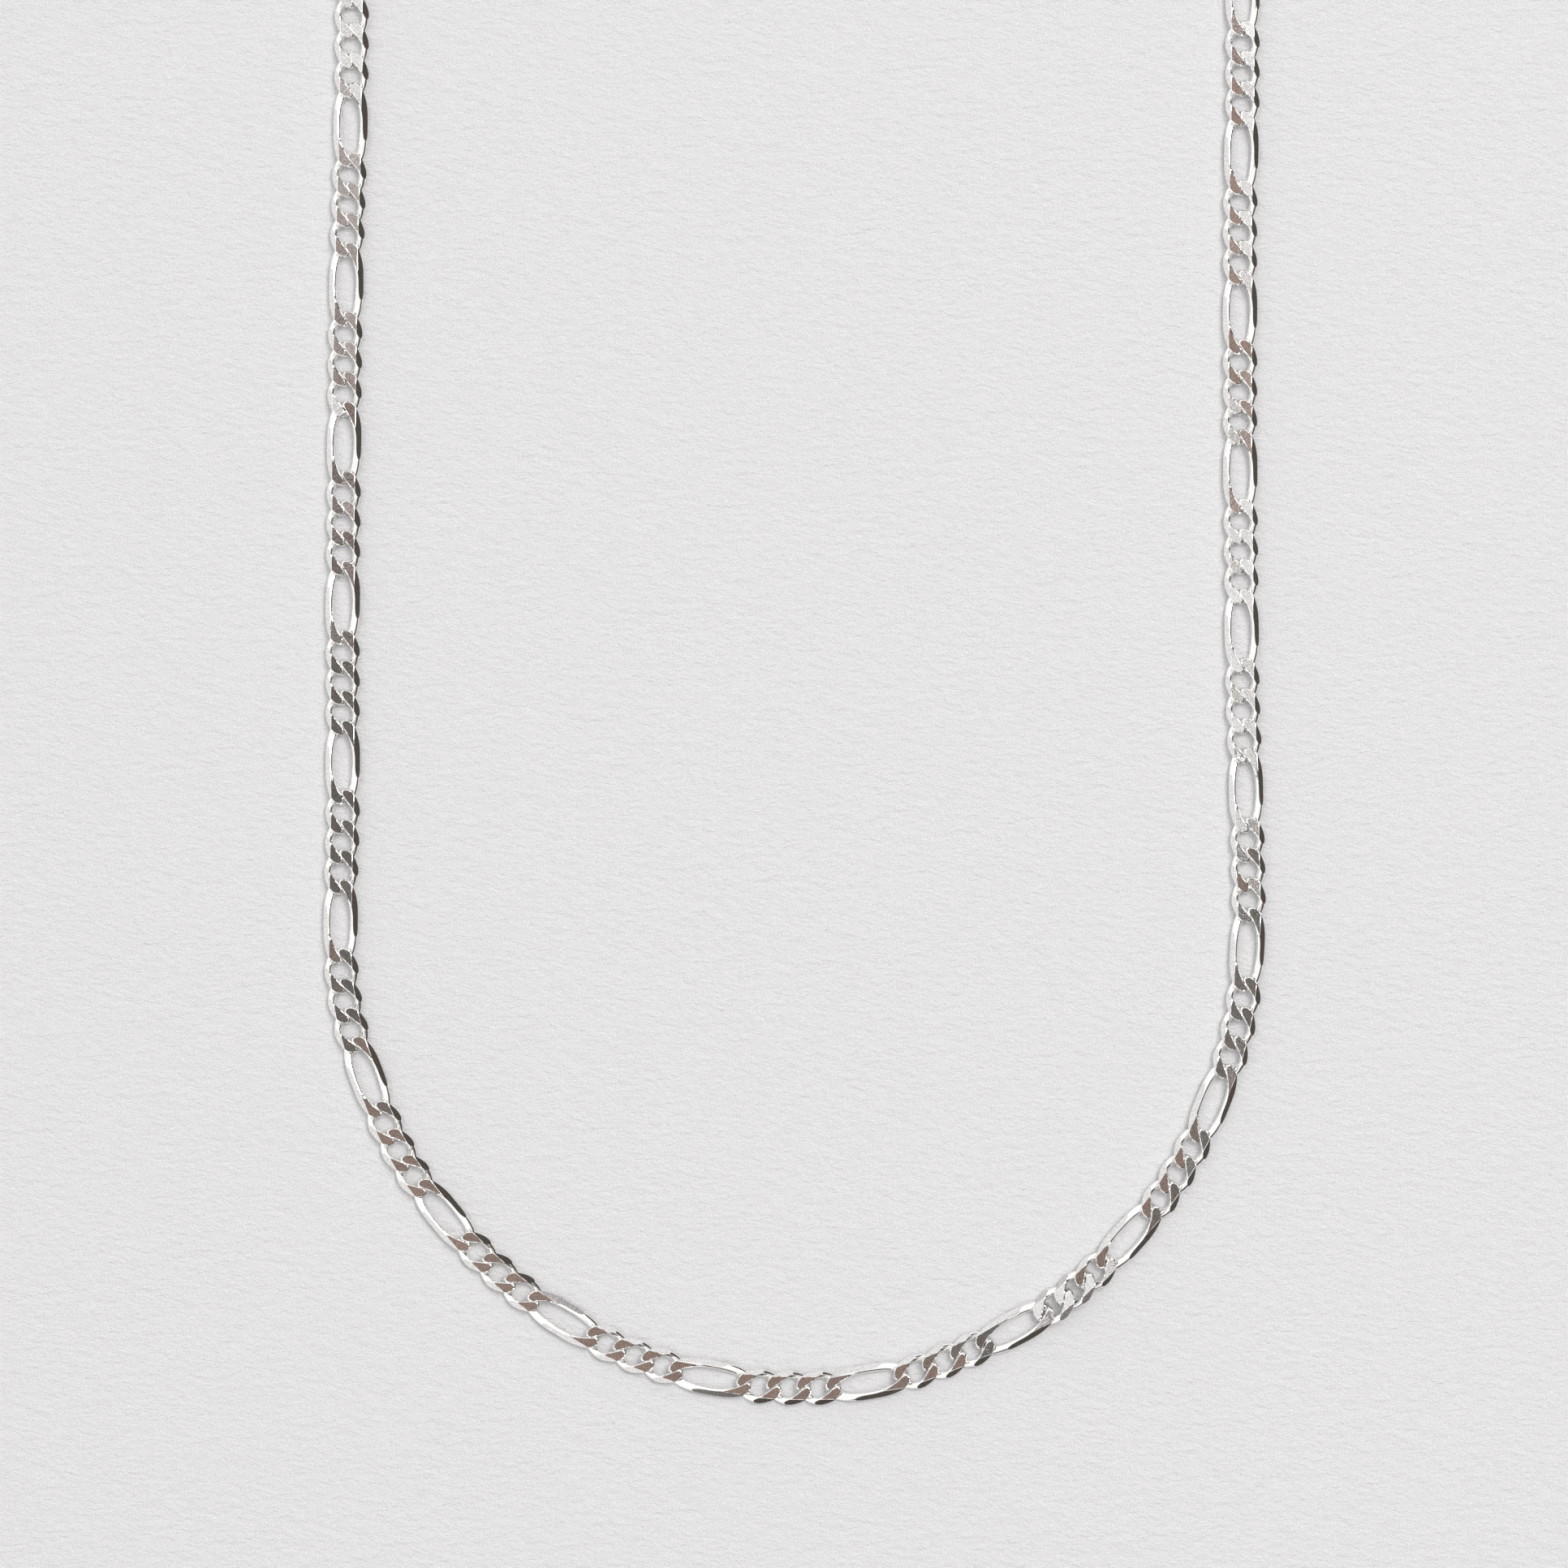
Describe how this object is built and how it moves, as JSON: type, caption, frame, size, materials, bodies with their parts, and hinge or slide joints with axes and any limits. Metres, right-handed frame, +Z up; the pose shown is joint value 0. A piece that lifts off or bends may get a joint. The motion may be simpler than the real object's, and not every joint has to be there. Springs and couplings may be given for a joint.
{
  "type": "figaro neck chain",
  "caption": "Flat ground figaro neck chain of twisted short and long links, closed in a loop by a clasp and jump rings, lying on a surface.",
  "frame": {"origin": "on the surface that the chain lies on, under the middle of the closed loop's box", "axes": "+Z up from the surface, +Y from the front of the loop towards the clasp, +X to the right with the clasp at the top"},
  "size_m": [0.0828, 0.1773, 0.0029],
  "materials": {
    "chain_silver": "silver links, faces ground flat and lightly lapped, edges cut bright",
    "finding_silver": "polished silver"
  },
  "bodies": {
    "root": {"left_strand": "chain_silver", "right_strand": "chain_silver", "clasp_ring": "finding_silver", "clasp": "finding_silver", "end_ring": "finding_silver"}
  },
  "joints": []
}
